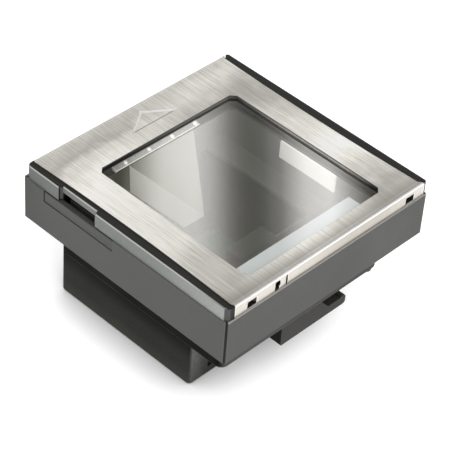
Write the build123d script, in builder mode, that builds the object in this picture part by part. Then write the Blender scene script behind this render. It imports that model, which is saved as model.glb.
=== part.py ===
"""Flatbed barcode scanner for a checkout counter: a square drop-in body with one horizontal window.

Frame: +X is the operator's right, +Y points away from the operator, +Z is up. The origin is the
middle of the footprint at the level of the lowest face. All sizes are in millimetres.

The lift-off cover (steel plate, plastic bezel, glass) sits on the main housing. A shallow tray
closes the housing from below, and a deep lower housing holds the imager and its electronics.
"""

import os

from build123d import *

os.makedirs("parts", exist_ok=True)

# ------------------------------------------------------------------ driving dimensions
total_height = 97.0
body_side = 152.0
cover_side = 150.0
cover_height = 9.3
cover_gap = 0.12
housing_drop = 37.0
tray_drop = 46.3
corner_radius = 3.5

window_width = 101.4
window_front = -64.7
window_back = 45.7
window_chamfer = 3.0

well_half_width = 48.7
well_front = -64.0
well_back = 49.3

block_corner = 2.6
block_left = -56.0
block_right = 44.0
block_front = -34.5
block_back = 68.0

# ------------------------------------------------------------------ levels and thicknesses
plate_top = total_height
sheet = 0.8
plate_under = plate_top - sheet
skirt_bottom = plate_top - cover_height
housing_top = skirt_bottom - cover_gap
housing_bottom = plate_top - housing_drop
tray_bottom = plate_top - tray_drop

gasket_height = 1.2
glass_top = plate_under - gasket_height
glass_thickness = 3.0
glass_bottom = glass_top - glass_thickness
ledge_bottom = glass_bottom - 1.6

housing_wall = 2.5
housing_floor = 2.5
floor_top = housing_bottom + housing_floor
tray_wall = 2.0
block_wall = 2.2
block_top = housing_bottom - 0.1

optics_x = (block_left + block_right) / 2
block_width = block_right - block_left
block_depth = block_back - block_front
block_y = (block_front + block_back) / 2
window_y = (window_front + window_back) / 2
window_depth = window_back - window_front


def window_outline(grow):
    """Draw the chamfered window outline, larger by grow on every side, at the window's centre."""
    with Locations((0, window_y)):
        outline = Rectangle(window_width + 2 * grow, window_depth + 2 * grow)
    chamfer(outline.vertices(), window_chamfer)


def save(part, label):
    """Label a finished piece and write its STEP file."""
    part.label = label
    export_step(part, f"parts/{label}.step")


# ------------------------------------------------------------------ top plate
# A brushed steel sheet whose front and back edges fold down into lips. Its sides bow in slightly.
plate_half = 71.0
plate_right = 70.2
plate_bow = 1.5
bend_radius = 2.4
plate_bend_start = 72.8
lip_left = -69.3
lip_right = 73.6
slot_centres = (-57.5, 62.2)
slot_width = 6.6
slot_height = 4.6
slot_drop = 6.35
tab_x = -35.6
tab_width = 5.0
arrow_apex_y = 67.1
arrow_base_y = 56.0
arrow_half_base = 16.5
arrow_inner_apex_y = 66.1
arrow_inner_base_y = 56.35
arrow_inner_half_base = 15.2
arrow_depth = 0.35

with BuildPart() as top_plate:
    with BuildSketch(Plane.YZ):
        with Locations((0, plate_top - cover_side / 2)):
            RectangleRounded(cover_side, cover_side, bend_radius)
            RectangleRounded(
                cover_side - 2 * sheet, cover_side - 2 * sheet, bend_radius - sheet, mode=Mode.SUBTRACT
            )
        with Locations((0, skirt_bottom - cover_side / 2)):
            Rectangle(cover_side + 2, cover_side, mode=Mode.SUBTRACT)
    extrude(amount=cover_side / 2, both=True)
    lip_y = cover_side / 2 + 0.01
    with BuildSketch(Plane.XY.offset(skirt_bottom - 1)):
        with BuildLine():
            left_side = ThreePointArc(
                (-plate_half, -plate_bend_start),
                (-plate_half + plate_bow, 0),
                (-plate_half, plate_bend_start),
            )
            right_side = ThreePointArc(
                (plate_right, plate_bend_start),
                (plate_right - plate_bow, 0),
                (plate_right, -plate_bend_start),
            )
            Polyline(left_side @ 1, (lip_left, lip_y), (lip_right, lip_y), right_side @ 0)
            Polyline(right_side @ 1, (lip_right, -lip_y), (lip_left, -lip_y), left_side @ 0)
        make_face()
    extrude(amount=cover_height + 2, mode=Mode.INTERSECT)
    with BuildSketch(Plane.XY.offset(plate_top + 1)):
        window_outline(0)
    extrude(amount=-4, mode=Mode.SUBTRACT)
    # rectangular slots through both lips
    with BuildSketch(Plane.XZ.offset(-cover_side)):
        with Locations(*[(x, plate_top - slot_drop) for x in slot_centres]):
            Rectangle(slot_width, slot_height)
    extrude(amount=2 * cover_side, mode=Mode.SUBTRACT)
    # a tab cut free in the front lip: a wide slot on its left, a narrow one on its right
    with BuildSketch(Plane.XZ.offset(cover_side / 2 - 2)):
        with BuildLine():
            Polyline(
                (tab_x - tab_width / 2 - 3.0, skirt_bottom - 1),
                (tab_x - tab_width / 2 - 2.7, plate_top - 3.1),
                (tab_x - tab_width / 2 + 0.7, plate_top - 3.0),
                (tab_x - tab_width / 2 + 1.3, plate_top - 6.0),
                (tab_x - tab_width / 2 + 0.3, plate_top - 7.2),
                (tab_x - tab_width / 2 + 0.3, skirt_bottom - 1),
                close=True,
            )
        make_face()
        with Locations((tab_x + tab_width / 2 + 0.7, plate_top - 6.6)):
            Rectangle(1.4, 7.4)
    extrude(amount=4, mode=Mode.SUBTRACT)
    # an outline triangle pressed into the back margin, pointing away from the operator
    with BuildSketch(Plane.XY.offset(plate_top - arrow_depth)):
        with BuildLine():
            Polyline(
                (-arrow_half_base, arrow_base_y),
                (0, arrow_apex_y),
                (arrow_half_base, arrow_base_y),
                close=True,
            )
        make_face()
        with BuildLine():
            Polyline(
                (-arrow_inner_half_base, arrow_inner_base_y),
                (0, arrow_inner_apex_y),
                (arrow_inner_half_base, arrow_inner_base_y),
                close=True,
            )
        make_face(mode=Mode.SUBTRACT)
    extrude(amount=1, mode=Mode.SUBTRACT)
save(top_plate.part, "top_plate")

# ------------------------------------------------------------------ cover bezel
# The plastic frame under the plate: side rims and skirts, corner posts, rails behind the lips,
# a pocket for the glass and a finger notch in the left skirt.
rim_top = plate_under
deck_thickness = 2.4
skirt_wall = 2.0
lip_clearance = 0.3
rail_face = cover_side / 2 - sheet - lip_clearance
pocket_grow = 4.1
pocket_wall = 2.0
ledge_grow = 0.9
ledge_back = 2.6
notch_front = 21.3
notch_back = 49.3
notch_y = (notch_front + notch_back) / 2
notch_length = notch_back - notch_front
notch_inset = 2.2
notch_strip = 3.8
post_gap = 0.6
rim_chamfer = 0.5
rim_extra = 0.8
right_corner_radius = 2.0
strip_ledge_right = 44.3
strip_ledge_back = -49.5
rail_chamfer = 1.3

with BuildPart() as cover_bezel:
    # the right side stands a little further out than the left, and its corners are squarer
    with BuildSketch(Plane.XY.offset(skirt_bottom)):
        RectangleRounded(cover_side, cover_side, corner_radius)
        with Locations((cover_side / 4 + rim_extra, 0)):
            RectangleRounded(cover_side / 2, cover_side, right_corner_radius)
    extrude(amount=rim_top - skirt_bottom)
    chamfer(cover_bezel.edges().group_by(Axis.Z)[-1], rim_chamfer)
    with BuildSketch(Plane.XY.offset(skirt_bottom)):
        Rectangle(cover_side - 2 * skirt_wall, 2 * (rail_face - skirt_wall))
    extrude(amount=rim_top - deck_thickness - skirt_bottom, mode=Mode.SUBTRACT)
    # room for the plate's folded lips
    lip_left_end = lip_left - post_gap
    lip_right_end = lip_right + post_gap
    for side in (-1, 1):
        with BuildSketch(Plane.XY.offset(skirt_bottom)):
            with Locations(((lip_left_end + lip_right_end) / 2, side * (rail_face + 1))):
                Rectangle(lip_right_end - lip_left_end, 2)
        extrude(amount=cover_height, mode=Mode.SUBTRACT)
    rail_edges = [
        edge
        for edge in cover_bezel.edges().filter_by(Axis.X).group_by(Axis.Z)[-1]
        if abs(abs(edge.center().Y) - rail_face) < 0.01
    ]
    chamfer(rail_edges, rail_chamfer)
    # windows in the rails behind the slots and the tab of the plate
    with BuildSketch(Plane.XZ.offset(-cover_side)):
        with Locations(*[(x, plate_top - slot_drop) for x in slot_centres]):
            Rectangle(slot_width + 1, slot_height)
        with Locations((tab_x, plate_top - slot_drop)):
            Rectangle(tab_width + 6.4, slot_height)
    extrude(amount=2 * cover_side, mode=Mode.SUBTRACT)
    # the collar round the glass, its pocket and its ledge
    with BuildSketch(Plane.XY.offset(ledge_bottom)):
        window_outline(pocket_grow + pocket_wall)
    extrude(amount=rim_top - ledge_bottom)
    with BuildSketch(Plane.XY.offset(glass_bottom)):
        window_outline(pocket_grow)
    extrude(amount=rim_top - glass_bottom, mode=Mode.SUBTRACT)
    with BuildSketch(Plane.XY.offset(ledge_bottom)):
        window_outline(ledge_grow)
        with Locations((0, window_back + ledge_back / 2)):
            Rectangle(window_width - 2 * window_chamfer, ledge_back)
    extrude(amount=rim_top - ledge_bottom, mode=Mode.SUBTRACT)
    # a broader ledge along the front, above which the label strip shows
    strip_ledge_left = -window_width / 2 - ledge_grow - 0.5
    strip_ledge_front = window_front - ledge_grow - 0.5
    with BuildSketch(Plane.XY.offset(ledge_bottom)):
        with Locations(
            ((strip_ledge_left + strip_ledge_right) / 2, (strip_ledge_front + strip_ledge_back) / 2)
        ):
            Rectangle(strip_ledge_right - strip_ledge_left, strip_ledge_back - strip_ledge_front)
    extrude(amount=glass_bottom - 0.25 - ledge_bottom)
    # the finger notch: the rim steps inwards, and the skirt is open below a short strip
    with BuildSketch(Plane.XY.offset(skirt_bottom)):
        with Locations((-cover_side / 2 + skirt_wall + notch_inset / 2, notch_y)):
            Rectangle(notch_inset, notch_length + 4)
    extrude(amount=rim_top - skirt_bottom)
    with BuildSketch(Plane.XY.offset(skirt_bottom)):
        with Locations((-cover_side / 2, notch_y)):
            notch = Rectangle(2 * notch_inset, notch_length)
        chamfer(notch.vertices().group_by(Axis.X)[-1], 1.2)
    extrude(amount=cover_height, mode=Mode.SUBTRACT)
    notch_edges = [
        edge
        for edge in cover_bezel.edges().group_by(Axis.Z)[-1]
        if edge.center().X < -cover_side / 2 + notch_inset + 0.5
        and abs(edge.center().Y - notch_y) < notch_length / 2 + 0.1
    ]
    chamfer(notch_edges, rim_chamfer)
    with BuildSketch(Plane.XY.offset(skirt_bottom)):
        with Locations((-cover_side / 2 + skirt_wall + notch_inset / 2, notch_y)):
            Rectangle(2 * notch_inset, notch_length - 2.4)
    extrude(amount=cover_height - sheet - notch_strip, mode=Mode.SUBTRACT)
    # four legs that drop into the housing and locate the cover
    leg_places = [(-71.2, -45), (71.2, -45), (-71.2, 68), (71.2, 45)]
    with BuildSketch(Plane.XY.offset(rim_top - deck_thickness)):
        with Locations(*leg_places):
            Rectangle(1.8, 7)
    extrude(amount=-14)
save(cover_bezel.part, "cover_bezel")

# ------------------------------------------------------------------ window, gasket and label
with BuildPart() as scan_window:
    with BuildSketch(Plane.XY.offset(glass_bottom)):
        window_outline(pocket_grow - 0.3)
    extrude(amount=glass_thickness)
save(scan_window.part, "scan_window")

with BuildPart() as window_gasket:
    with BuildSketch(Plane.XY.offset(glass_top)):
        window_outline(pocket_grow - 0.5)
    extrude(amount=gasket_height)
    with BuildSketch(Plane.XY.offset(glass_top)):
        window_outline(0)
    extrude(amount=gasket_height, mode=Mode.SUBTRACT)
save(window_gasket.part, "window_gasket")

# a plain strip fixed under the glass along its front edge
label_left = -50.4
label_right = 38.1
label_front = -64.4
label_back = -53.0

with BuildPart() as window_label:
    with BuildSketch(Plane.XY.offset(glass_bottom)):
        with Locations(((label_left + label_right) / 2, (label_front + label_back) / 2)):
            strip = Rectangle(label_right - label_left, label_back - label_front)
        chamfer(strip.vertices(), 0.3)
    extrude(amount=-0.2)
save(window_label.part, "window_label")

# ------------------------------------------------------------------ main housing
# A square open-topped tray with a grooved vertical line at each corner. Its floor opens into the
# lower housing. The left wall has a slot for the cover latch.
body_corner = 1.2
groove_width = 1.3
groove_depth = 1.2
groove_length = 3.0
latch_front = 7.0
latch_back = 60.0
latch_low = 80.4
floor_chamfer = 10.0
boss_radius = 3.0
chassis_posts = [(-58, -50), (58, -50), (-58, 40), (58, 40)]
chassis_post_top = 78.0
tray_screw_places = [(-66, -64), (-9, -69), (40, -69), (-65, 36), (-65, -12)]
housing_screw_places = [(-50, -28.5), (38, -28.5), (-50, 62), (38, 62)]
pilot_radius = 1.1
rib_left = -69.0
rib_thickness = 1.5
tongue_height = 4.0

with BuildPart() as main_housing:
    with BuildSketch(Plane.XY.offset(housing_bottom)):
        RectangleRounded(body_side, body_side, body_corner)
    extrude(amount=housing_top - housing_bottom)
    fillet(main_housing.edges().group_by(Axis.Z)[0], 0.8)
    with BuildSketch(Plane.XY.offset(floor_top)):
        RectangleRounded(body_side - 2 * housing_wall, body_side - 2 * housing_wall, 2)
    extrude(amount=housing_top - floor_top, mode=Mode.SUBTRACT)
    # a dark groove down each vertical corner
    corner_cut = body_corner * (2**0.5 - 1)
    groove_place = body_side / 2 - (corner_cut + groove_depth - groove_length / 2) / 2**0.5
    with BuildSketch(Plane.XY.offset(housing_bottom - 1)):
        for x_side in (-1, 1):
            for y_side in (-1, 1):
                turn = 45 * x_side * y_side
                with Locations(Location((x_side * groove_place, y_side * groove_place), turn)):
                    Rectangle(groove_length, groove_width)
    extrude(amount=housing_top - housing_bottom + 2, mode=Mode.SUBTRACT)
    # the opening down into the lower housing
    with BuildSketch(Plane.XY.offset(housing_bottom)):
        with Locations((optics_x, block_y)):
            well_hole = Rectangle(block_width - 8, block_depth - 8)
        chamfer(well_hole.vertices(), floor_chamfer)
    extrude(amount=housing_floor, mode=Mode.SUBTRACT)
    # tongues that rise inside the cover's side skirts
    tongue_x = cover_side / 2 - skirt_wall - 0.3 - 0.7
    with BuildSketch(Plane.XY.offset(floor_top)):
        with Locations((tongue_x, 0)):
            Rectangle(1.4, 78)
        with Locations((-tongue_x, -15)):
            Rectangle(1.4, 34)
    extrude(amount=housing_top + tongue_height - floor_top)
    # posts for the optics chassis and the tray screws
    with BuildSketch(Plane.XY.offset(floor_top)):
        with Locations(*chassis_posts):
            Circle(boss_radius)
    extrude(amount=chassis_post_top - floor_top)
    with BuildSketch(Plane.XY.offset(floor_top)):
        with Locations(*tray_screw_places):
            Circle(boss_radius)
    extrude(amount=7)
    with BuildSketch(Plane.XY.offset(chassis_post_top)):
        with Locations(*chassis_posts):
            Circle(pilot_radius)
    extrude(amount=-9, mode=Mode.SUBTRACT)
    with BuildSketch(Plane.XY.offset(housing_bottom)):
        with Locations(*tray_screw_places):
            Circle(pilot_radius)
    extrude(amount=8, mode=Mode.SUBTRACT)
    with BuildSketch(Plane.XY.offset(housing_bottom)):
        with Locations(*housing_screw_places):
            Circle(1.6)
    extrude(amount=housing_floor, mode=Mode.SUBTRACT)
    # the latch slot, two shelves under the latch and the rib behind its spring
    latch_y = (latch_front + latch_back) / 2
    latch_length = latch_back - latch_front
    with BuildSketch(Plane.YZ.offset(-body_side / 2 - 1)):
        with Locations((latch_y, (latch_low + housing_top + 1) / 2)):
            Rectangle(latch_length, housing_top + 1 - latch_low)
    extrude(amount=housing_wall + 1, mode=Mode.SUBTRACT)
    with BuildSketch(Plane.XY.offset(floor_top)):
        with Locations((-71, latch_front + 5), (-71, latch_back - 5)):
            Rectangle(5.4, 4)
    extrude(amount=latch_low - 1.8 - floor_top)
    with BuildSketch(Plane.XY.offset(floor_top)):
        with Locations((rib_left + rib_thickness / 2, latch_y)):
            Rectangle(rib_thickness, 27)
    extrude(amount=housing_top - 1.6 - floor_top)
save(main_housing.part, "main_housing")

# ------------------------------------------------------------------ cover latch and its spring
# A long narrow bar in the left wall, pressed inwards to free the cover. Its wider back plate
# stops against the inside of the wall, and a bowed leaf spring pushes it outwards.
latch_clearance = 0.2
latch_face = -body_side / 2 + 0.35
latch_travel = 1.5
flange_thickness = 1.0
flange_face = -body_side / 2 + housing_wall + 0.02
bar_low = latch_low + latch_clearance
bar_high = housing_top - 0.4

with BuildPart() as cover_latch:
    with BuildSketch(Plane.YZ.offset(latch_face)):
        with Locations((latch_y, (bar_low + bar_high) / 2)):
            Rectangle(latch_length - 2 * latch_clearance, bar_high - bar_low)
    extrude(amount=flange_face - latch_face + flange_thickness / 2)
    fillet(cover_latch.edges().group_by(Axis.X)[0], 0.3)
    with BuildSketch(Plane.YZ.offset(flange_face)):
        with Locations((latch_y, (bar_low - 1.2 + bar_high) / 2)):
            Rectangle(latch_length + 3, bar_high - bar_low + 1.2)
    extrude(amount=flange_thickness)
save(cover_latch.part, "cover_latch")

spring_height = 4.0
spring_left = flange_face + flange_thickness
spring_sag = rib_left - spring_left - 0.3

with BuildPart() as latch_spring:
    with BuildSketch(Plane.XY.offset(bar_low + 0.6)):
        with BuildLine():
            bow = ThreePointArc(
                (rib_left, latch_y - 11), (rib_left - spring_sag, latch_y), (rib_left, latch_y + 11)
            )
            back = ThreePointArc(
                (rib_left, latch_y + 10.4),
                (rib_left - spring_sag + 0.3, latch_y),
                (rib_left, latch_y - 10.4),
            )
            Line(bow @ 1, back @ 0)
            Line(back @ 1, bow @ 0)
        make_face()
    extrude(amount=spring_height)
save(latch_spring.part, "latch_spring")

# ------------------------------------------------------------------ base tray
# The shallow tray under the housing floor. Its right end is a rounded step, short of the housing.
tray_left = -73.5
tray_right = 46.5
tray_front = -72.3
tray_back = 72.0
tray_x = (tray_left + tray_right) / 2
tray_y = (tray_front + tray_back) / 2
tray_width = tray_right - tray_left
tray_depth = tray_back - tray_front
step_width = 13.5
step_length = 28.0
speaker_x = -48.0
speaker_y = -52.5
hook_screw_places = [(-20, -66), (-2, -66)]


def tray_outline(inset):
    """Draw the tray's plan, smaller by inset on every side, with its back left corner cut away."""
    with Locations((tray_x, tray_y)):
        RectangleRounded(tray_width - 2 * inset, tray_depth - 2 * inset, 5 - inset)
    with Locations((tray_left, tray_back)):
        Rectangle(2 * (step_width + inset), 2 * (step_length + inset), mode=Mode.SUBTRACT)


with BuildPart() as base_tray:
    with BuildSketch(Plane.XY.offset(tray_bottom)):
        tray_outline(0)
    extrude(amount=housing_bottom - tray_bottom)
    fillet(base_tray.edges().group_by(Axis.Z)[0], 2.2)
    with BuildSketch(Plane.XY.offset(tray_bottom + tray_wall)):
        tray_outline(tray_wall)
    extrude(amount=housing_bottom - tray_bottom, mode=Mode.SUBTRACT)
    # a frame round the lower housing, then the opening it passes through
    with BuildSketch(Plane.XY.offset(tray_bottom)):
        with Locations((optics_x, block_y)):
            Rectangle(block_width + 4.2, block_depth + 4.2)
    extrude(amount=housing_bottom - tray_bottom)
    with BuildSketch(Plane.XY.offset(tray_bottom)):
        with Locations((optics_x, block_y)):
            RectangleRounded(block_width + 0.5, block_depth + 0.5, block_corner + 0.2)
    extrude(amount=housing_bottom - tray_bottom, mode=Mode.SUBTRACT)
    with BuildSketch(Plane.XY.offset(tray_bottom)):
        with Locations(*tray_screw_places):
            Circle(boss_radius)
    extrude(amount=housing_bottom - tray_bottom)
    with BuildSketch(Plane.XY.offset(tray_bottom)):
        with Locations(*tray_screw_places):
            Circle(1.5)
    extrude(amount=housing_bottom - tray_bottom, mode=Mode.SUBTRACT)
    with BuildSketch(Plane.XY.offset(tray_bottom)):
        with Locations(*tray_screw_places):
            Circle(2.6)
    extrude(amount=2.2, mode=Mode.SUBTRACT)
    # pilot bosses for the hook's screws and a sound grille under the speaker
    with BuildSketch(Plane.XY.offset(tray_bottom)):
        with Locations(*hook_screw_places):
            Circle(boss_radius)
    extrude(amount=6)
    with BuildSketch(Plane.XY.offset(tray_bottom)):
        with Locations(*hook_screw_places):
            Circle(pilot_radius)
    extrude(amount=5, mode=Mode.SUBTRACT)
    with BuildSketch(Plane.XY.offset(tray_bottom)):
        with Locations((speaker_x, speaker_y)):
            with GridLocations(0, 3.2, 1, 6):
                SlotOverall(16, 1.4)
    extrude(amount=tray_wall, mode=Mode.SUBTRACT)
save(base_tray.part, "base_tray")

# ------------------------------------------------------------------ lower housing
# A deep tub hung under the housing floor. Its front wall has the two sockets and the button.
block_bottom_round = 1.4
post_height = 20.0
host_x = -34.15
host_width = 15.3
host_low = 5.6
host_height = 13.4
service_x = -13.75
service_width = 11.5
service_height = 11.6
button_x = 14.0
button_z = 12.0
button_radius = 3.6
board_low = 4.0
board_thickness = 1.6
board_top = board_low + board_thickness
board_screw_places = [(-49, -27), (37, -27), (-49, 39.5), (37, 39.5)]
label_recess = 0.4

with BuildPart() as lower_housing:
    with BuildSketch(Plane.XY):
        with Locations((optics_x, block_y)):
            RectangleRounded(block_width, block_depth, block_corner)
    extrude(amount=block_top)
    fillet(lower_housing.edges().group_by(Axis.Z)[0], block_bottom_round)
    with BuildSketch(Plane.XY.offset(block_wall)):
        with Locations((optics_x, block_y)):
            RectangleRounded(block_width - 2 * block_wall, block_depth - 2 * block_wall, 1.2)
    extrude(amount=block_top, mode=Mode.SUBTRACT)
    # screw posts in the top corners and standoffs for the main board
    with BuildSketch(Plane.XY.offset(block_top)):
        with Locations(*housing_screw_places):
            Rectangle(7.4, 7.4)
    extrude(amount=-post_height)
    with BuildSketch(Plane.XY.offset(block_top)):
        with Locations((optics_x, block_y)):
            Rectangle(block_width + 20, block_depth + 20)
            RectangleRounded(block_width, block_depth, block_corner, mode=Mode.SUBTRACT)
    extrude(amount=-post_height, mode=Mode.SUBTRACT)
    with BuildSketch(Plane.XY.offset(block_top)):
        with Locations(*housing_screw_places):
            Circle(pilot_radius)
    extrude(amount=-12, mode=Mode.SUBTRACT)
    with BuildSketch(Plane.XY.offset(block_wall)):
        with Locations(*board_screw_places):
            Circle(3)
    extrude(amount=board_low - block_wall)
    with BuildSketch(Plane.XY.offset(1)):
        with Locations(*board_screw_places):
            Circle(0.9)
    extrude(amount=board_low, mode=Mode.SUBTRACT)
    # openings in the front wall
    with BuildSketch(Plane.XZ.offset(-block_front - block_wall - 1)):
        with Locations((host_x, host_low + host_height / 2)):
            Rectangle(host_width + 1, host_height + 0.8)
        with Locations((service_x, host_low + service_height / 2)):
            Rectangle(service_width + 1, service_height + 0.8)
        with Locations((button_x, button_z)):
            Circle(button_radius + 0.3)
    extrude(amount=block_wall + 2, mode=Mode.SUBTRACT)
    with BuildSketch(Plane.XY):
        with Locations((-10, 22)):
            RectangleRounded(60.4, 35.4, 1.2)
    extrude(amount=label_recess, mode=Mode.SUBTRACT)
save(lower_housing.part, "lower_housing")

with BuildPart() as rating_label:
    with BuildSketch(Plane.XY.offset(label_recess - 0.2)):
        with Locations((-10, 22)):
            RectangleRounded(60, 35, 1)
    extrude(amount=0.2)
save(rating_label.part, "rating_label")

# ------------------------------------------------------------------ cable hook
# A bar under the front of the tray with a slot that holds the cable.
hook_front = -70.0
hook_back = -62.0
hook_left = -26.0
hook_right = 24.3
hook_low = 36.2
hook_floor = 41.7
hook_tip = 42.6

with BuildPart() as cable_hook:
    with BuildSketch(Plane.XZ.offset(-hook_back)):
        with BuildLine():
            Polyline(
                (hook_left, tray_bottom),
                (hook_left, hook_low),
                (hook_right, hook_low),
                (hook_right, hook_tip),
                (hook_right - 3.4, hook_tip),
                (hook_right - 4.6, hook_floor),
                (10.6, hook_floor),
                (2.5, tray_bottom),
                close=True,
            )
        make_face()
        tip_corners = [corner for corner in vertices() if corner.X > hook_right - 0.1]
        fillet(tip_corners, 1.9)
    extrude(amount=hook_back - hook_front)
    fillet(cable_hook.edges().filter_by(Axis.Y).group_by(Axis.X)[0].group_by(Axis.Z)[0], 0.8)
    with BuildSketch(Plane.XY.offset(hook_low)):
        with Locations(*hook_screw_places):
            Circle(1.6)
    extrude(amount=tray_bottom, mode=Mode.SUBTRACT)
    with BuildSketch(Plane.XY.offset(hook_low)):
        with Locations(*hook_screw_places):
            Circle(2.7)
    extrude(amount=4, mode=Mode.SUBTRACT)
save(cable_hook.part, "cable_hook")

# ------------------------------------------------------------------ optics chassis
# The dark walls of the well below the window, open at the bottom to the lower housing.
chassis_wall = 1.8
chassis_top = 89.6
chassis_floor = 65.0
well_y = (well_front + well_back) / 2
well_depth = well_back - well_front
throat_left = -42.0
throat_right = 34.0
throat_front = -30.0
throat_back = 48.0
panel_front = -35.0
panel_back = 5.5
panel_low = 78.0
panel_high = 89.2
panel_y = (panel_front + panel_back) / 2
panel_z = (panel_low + panel_high) / 2

with BuildPart() as optics_chassis:
    with BuildSketch(Plane.XY.offset(chassis_floor)):
        with Locations((0, well_y)):
            Rectangle(2 * (well_half_width + chassis_wall), well_depth + 2 * chassis_wall)
    extrude(amount=chassis_top - chassis_floor)
    with BuildSketch(Plane.XY.offset(chassis_floor + chassis_wall)):
        with Locations((0, well_y)):
            Rectangle(2 * well_half_width, well_depth)
    extrude(amount=chassis_top - chassis_floor, mode=Mode.SUBTRACT)
    with BuildSketch(Plane.XY.offset(chassis_floor)):
        with Locations(((throat_left + throat_right) / 2, (throat_front + throat_back) / 2)):
            Rectangle(throat_right - throat_left, throat_back - throat_front)
    extrude(amount=chassis_wall, mode=Mode.SUBTRACT)
    # ears that rest on the housing posts
    with BuildSketch(Plane.XY.offset(chassis_post_top)):
        for post_x, post_y in chassis_posts:
            side = 1 if post_x > 0 else -1
            with Locations((post_x - side * 3.9, post_y)):
                Rectangle(7.8, 7)
            with Locations((post_x, post_y)):
                Circle(3.5)
    extrude(amount=2)
    with BuildSketch(Plane.XY.offset(chassis_post_top)):
        with Locations(*chassis_posts):
            Circle(1.6)
    extrude(amount=2, mode=Mode.SUBTRACT)
    # the gap in the right wall behind the light panel
    with BuildSketch(Plane.YZ.offset(well_half_width)):
        with Locations((panel_y, panel_z - 0.8)):
            Rectangle(panel_back - panel_front - 4, panel_high - panel_low - 4)
    extrude(amount=chassis_wall, mode=Mode.SUBTRACT)
save(optics_chassis.part, "optics_chassis")

with BuildPart() as well_seal:
    with BuildSketch(Plane.XY.offset(chassis_top)):
        with Locations((0, well_y)):
            Rectangle(2 * (well_half_width + chassis_wall), well_depth + 2 * chassis_wall)
            Rectangle(2 * well_half_width + 0.4, well_depth + 0.4, mode=Mode.SUBTRACT)
    extrude(amount=0.6)
save(well_seal.part, "well_seal")

with BuildPart() as wake_sensor_cover:
    with BuildSketch(Plane.XY.offset(chassis_floor + chassis_wall)):
        with Locations((-22.5, -40.5)):
            RectangleRounded(27, 11, 0.6)
    extrude(amount=87 - chassis_floor - chassis_wall)
    with BuildSketch(Plane.XY.offset(chassis_floor + chassis_wall)):
        with Locations((-22.5, -40.5)):
            Rectangle(24.6, 8.6)
    extrude(amount=87 - chassis_floor - chassis_wall - 1.2, mode=Mode.SUBTRACT)
save(wake_sensor_cover.part, "wake_sensor_cover")

# ------------------------------------------------------------------ lights inside the well
reflector_thickness = 0.8
crown_left = Vector(-27.3, 46.0, 87.2)
crown_right = Vector(20.7, 46.0, 87.2)
fold_foot = Vector(-0.3, 14.0, 57.0)
skirt_foot = Vector(-8.3, 21.0, 47.0)
skirt_edge = Vector(-26.6, 45.4, 68.6)


def facet(first, second, third, *others):
    """Make a thin plate whose face passes through the given corners; it thickens behind the face."""
    normal = (second - first).cross(third - first).normalized()
    face_plane = Plane(origin=first, x_dir=(second - first).normalized(), z_dir=normal)
    flat_corners = []
    for corner in (first, second, third, *others):
        flat = face_plane.to_local_coords(corner)
        flat_corners.append((flat.X, flat.Y))
    with BuildSketch(face_plane) as face_shape:
        with BuildLine():
            Polyline(*flat_corners, close=True)
        make_face()
    extrude(face_shape.sketch, amount=-reflector_thickness)


with BuildPart() as light_reflector:
    facet(fold_foot, crown_right, crown_left)
    facet(fold_foot, crown_left, skirt_edge, skirt_foot)
    # the flange that fixes it to the back wall
    with BuildSketch(Plane.XY.offset(85.5)):
        with Locations((-3.3, (45.4 + well_back) / 2)):
            Rectangle(40, well_back - 45.4)
    extrude(amount=0.9)
save(light_reflector.part, "light_reflector")

bar_left = -37.3
bar_right = 25.4
bar_front = 45.6
bar_back = well_back - 0.1
bar_bottom = 87.5
bar_top = 89.5
led_places = [(-28.6 + 17.3 * index, 47.6) for index in range(4)]

with BuildPart() as light_bar:
    with BuildSketch(Plane.YZ.offset(bar_left)):
        with BuildLine():
            Polyline(
                (bar_front, bar_bottom),
                (bar_back, bar_bottom),
                (bar_back, bar_top),
                (bar_back - 0.4, bar_top),
                (bar_front, bar_bottom + 0.5),
                close=True,
            )
        make_face()
    extrude(amount=bar_right - bar_left)
    with BuildSketch(Plane.XY.offset(bar_bottom)):
        with Locations(*led_places):
            Rectangle(2.6, 1.6)
    extrude(amount=0.6, mode=Mode.SUBTRACT)
save(light_bar.part, "light_bar")

with BuildPart() as led_board:
    with BuildSketch(Plane.XY.offset(bar_bottom)):
        with Locations(((bar_left + bar_right) / 2, 48.1)):
            Rectangle(bar_right - bar_left - 2, 2.2)
    extrude(amount=-0.9)
save(led_board.part, "led_board")

with BuildPart() as leds:
    with BuildSketch(Plane.XY.offset(bar_bottom)):
        with Locations(*led_places):
            Rectangle(2.0, 1.0)
    extrude(amount=0.5)
save(leds.part, "leds")

with BuildPart() as light_panel:
    with BuildSketch(Plane.YZ.offset(well_half_width)):
        with Locations((panel_y, panel_z)):
            Rectangle(panel_back - panel_front, panel_high - panel_low)
    extrude(amount=-1.2)
save(light_panel.part, "light_panel")

with BuildPart() as panel_led_board:
    with BuildSketch(Plane.YZ.offset(well_half_width + chassis_wall)):
        with Locations((panel_y, panel_z - 0.9)):
            Rectangle(panel_back - panel_front, panel_high - panel_low - 2)
    extrude(amount=1.2)
    with BuildSketch(Plane.YZ.offset(well_half_width + chassis_wall)):
        with Locations((panel_y, panel_z - 0.9)):
            with GridLocations(9, 0, 4, 1):
                Rectangle(2.4, 2)
    extrude(amount=-0.9)
save(panel_led_board.part, "panel_led_board")

# ------------------------------------------------------------------ fold mirror and imager
# The mirror turns the view from the window back to the imager, which looks towards the operator.
mirror_plane = Plane(origin=(-6, -9, 29), x_dir=(1, 0, 0), z_dir=(0, 1, 1))
mirror_width = 74.0
mirror_length = 50.0
mirror_thickness = 2.0

with BuildPart() as fold_mirror:
    with BuildSketch(mirror_plane):
        Rectangle(mirror_width, mirror_length)
    extrude(amount=-mirror_thickness)
save(fold_mirror.part, "fold_mirror")

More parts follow.
